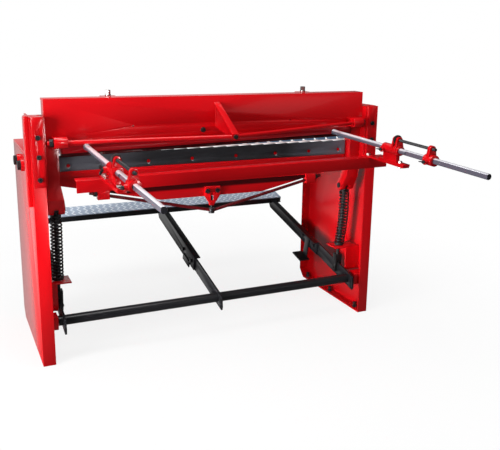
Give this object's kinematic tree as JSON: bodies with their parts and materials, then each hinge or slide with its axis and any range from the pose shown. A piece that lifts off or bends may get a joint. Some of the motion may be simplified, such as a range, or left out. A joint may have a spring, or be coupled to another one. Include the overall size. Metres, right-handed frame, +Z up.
{
  "type": "guillotine shear",
  "caption": "Floor-standing foot-operated guillotine shear for sheet metal, with a treadle, a raked blade beam, a hold-down and a back gauge on rods",
  "frame": {"origin": "On the floor, at the middle of the four floor bolts, midway between the legs.", "axes": "+Z up, +Y to the rear where the back gauge stands out, +X to the right of the operator, who stands at the treadle on the -Y side."},
  "size_m": [1.606, 1.8901, 1.0953],
  "materials": {
    "red_paint": "gloss",
    "black_paint": "gloss",
    "checker_plate": "satin",
    "blade_steel": "satin",
    "black_steel": "satin",
    "chrome_rod": "polished",
    "zinc_steel": "satin"
  },
  "bodies": {
    "frame": {"leg_right": "red_paint", "leg_left": "red_paint", "table": "red_paint", "table_apron": "red_paint", "bed_beam": "red_paint", "lower_blade": "blade_steel", "lower_blade_screws": "black_steel", "bed_truss_rod": "red_paint", "bed_truss_bracket": "red_paint", "bed_truss_fasteners": "black_steel", "slide_ways": "red_paint", "gib_plates": "red_paint", "gib_screws": "black_steel", "guide_bars": "red_paint", "frame_bolts": "black_steel", "pivot_blocks": "red_paint", "spring_brackets": "red_paint", "return_spring_right": "black_steel", "return_spring_left": "black_steel"},
    "blade_beam": {"beam": "red_paint", "beam_arm_right": "red_paint", "beam_arm_left": "red_paint", "blade_rail": "red_paint", "upper_blade": "blade_steel", "upper_blade_screws": "black_steel", "beam_truss_rod": "red_paint", "truss_fasteners": "black_steel", "truss_gusset": "red_paint", "gauge_rods": "chrome_rod", "hold_down_springs": "black_steel"},
    "hold_down_bar": {"hold_down": "red_paint", "hold_down_bolts": "zinc_steel"},
    "right_link": {"link_right": "black_steel", "clevis_right": "black_steel"},
    "left_link": {"link_left": "black_steel", "clevis_left": "black_steel"},
    "treadle": {"treadle_tube": "black_paint", "arm_rear_right": "black_paint", "arm_rear_left": "black_paint", "arm_rear_middle": "black_paint", "arm_front_right": "black_paint", "arm_front_left": "black_paint", "arm_front_middle": "black_paint", "arm_bolts": "black_paint", "stop_straps": "black_paint", "tread_frame": "black_paint", "tread_plate": "checker_plate"},
    "gauge_clamps": {"collar_right": "red_paint", "collar_left": "red_paint"},
    "gauge_carriage": {"gauge_bar": "red_paint", "gauge_straps": "red_paint", "gauge_bolts": "zinc_steel", "slider_right": "red_paint", "slider_left": "red_paint"},
    "right_wheel": {"wheel_right": "black_steel"},
    "left_wheel": {"wheel_left": "black_steel"},
    "right_slider_screw": {"slider_screw_right": "black_steel"},
    "left_slider_screw": {"slider_screw_left": "black_steel"},
    "right_collar_screw": {"collar_screw_right": "black_steel"},
    "left_collar_screw": {"collar_screw_left": "black_steel"}
  },
  "joints": [
    {"name": "beam_slide", "type": "slide", "parent": "frame", "child": "blade_beam", "axis": [0, 0, 1], "range_m": [-0.032, 0], "stiffness_N_per_m": 16000, "springref_m": 0.1, "deforming": ["return_spring_right", "return_spring_left"]},
    {"name": "treadle_pivot", "type": "hinge", "parent": "frame", "child": "treadle", "pos_m": [0, 0.258, 0.172], "axis": [1, 0, 0], "range_deg": [0, 17.17]},
    {"name": "link_right_swing", "type": "hinge", "parent": "blade_beam", "child": "right_link", "pos_m": [0.681, 0.199, 0.627], "axis": [1, 0, 0], "range_deg": [-0.37, 0]},
    {"name": "link_left_swing", "type": "hinge", "parent": "blade_beam", "child": "left_link", "pos_m": [-0.681, 0.199, 0.627], "axis": [1, 0, 0], "range_deg": [-0.37, 0]},
    {"name": "hold_down_slide", "type": "slide", "parent": "blade_beam", "child": "hold_down_bar", "axis": [0, 0, 1], "range_m": [0, 0.0264], "deforming": ["hold_down_springs"]},
    {"name": "gauge_slide", "type": "slide", "parent": "blade_beam", "child": "gauge_clamps", "axis": [-0.0002, 0.9998, -0.0218], "range_m": [-0.24, 0.25]},
    {"name": "gauge_fine", "type": "slide", "parent": "gauge_clamps", "child": "gauge_carriage", "axis": [-0.0002, 0.9998, -0.0218], "range_m": [-0.006, 0.006]},
    {"name": "wheel_right_turn", "type": "hinge", "parent": "gauge_carriage", "child": "right_wheel", "pos_m": [0.56129, 0.75278, 0.91464], "axis": [-0.0002, 0.9998, -0.0218], "range_deg": [-1080, 1080]},
    {"name": "wheel_left_turn", "type": "hinge", "parent": "gauge_carriage", "child": "left_wheel", "pos_m": [-0.56065, 0.75278, 0.92639], "axis": [-0.0002, 0.9998, -0.0218], "range_deg": [-1080, 1080]},
    {"name": "slider_screw_right_turn", "type": "hinge", "parent": "gauge_carriage", "child": "right_slider_screw", "pos_m": [0.56082, 0.68679, 0.87007], "axis": [0.9999, 0, -0.0105], "range_deg": [0, 90]},
    {"name": "slider_screw_left_turn", "type": "hinge", "parent": "gauge_carriage", "child": "left_slider_screw", "pos_m": [-0.56112, 0.68679, 0.88182], "axis": [0.9999, 0, -0.0105], "range_deg": [0, 90]},
    {"name": "collar_screw_right_turn", "type": "hinge", "parent": "gauge_clamps", "child": "right_collar_screw", "pos_m": [0.56076, 0.96073, 0.8641], "axis": [0.9999, 0, -0.0105], "range_deg": [0, 90]},
    {"name": "collar_screw_left_turn", "type": "hinge", "parent": "gauge_clamps", "child": "left_collar_screw", "pos_m": [-0.56118, 0.96073, 0.87585], "axis": [0.9999, 0, -0.0105], "range_deg": [0, 90]}
  ],
  "couplings": [
    {"joint": "treadle_pivot", "follows": "beam_slide", "rad_per_m": -9.365},
    {"joint": "link_right_swing", "follows": "beam_slide", "rad_per_m": 0.2},
    {"joint": "link_left_swing", "follows": "beam_slide", "rad_per_m": 0.2},
    {"joint": "hold_down_slide", "follows": "beam_slide", "ratio": -0.825},
    {"joint": "wheel_right_turn", "follows": "gauge_fine", "rad_per_m": 3141.6},
    {"joint": "wheel_left_turn", "follows": "gauge_fine", "rad_per_m": 3141.6}
  ]
}
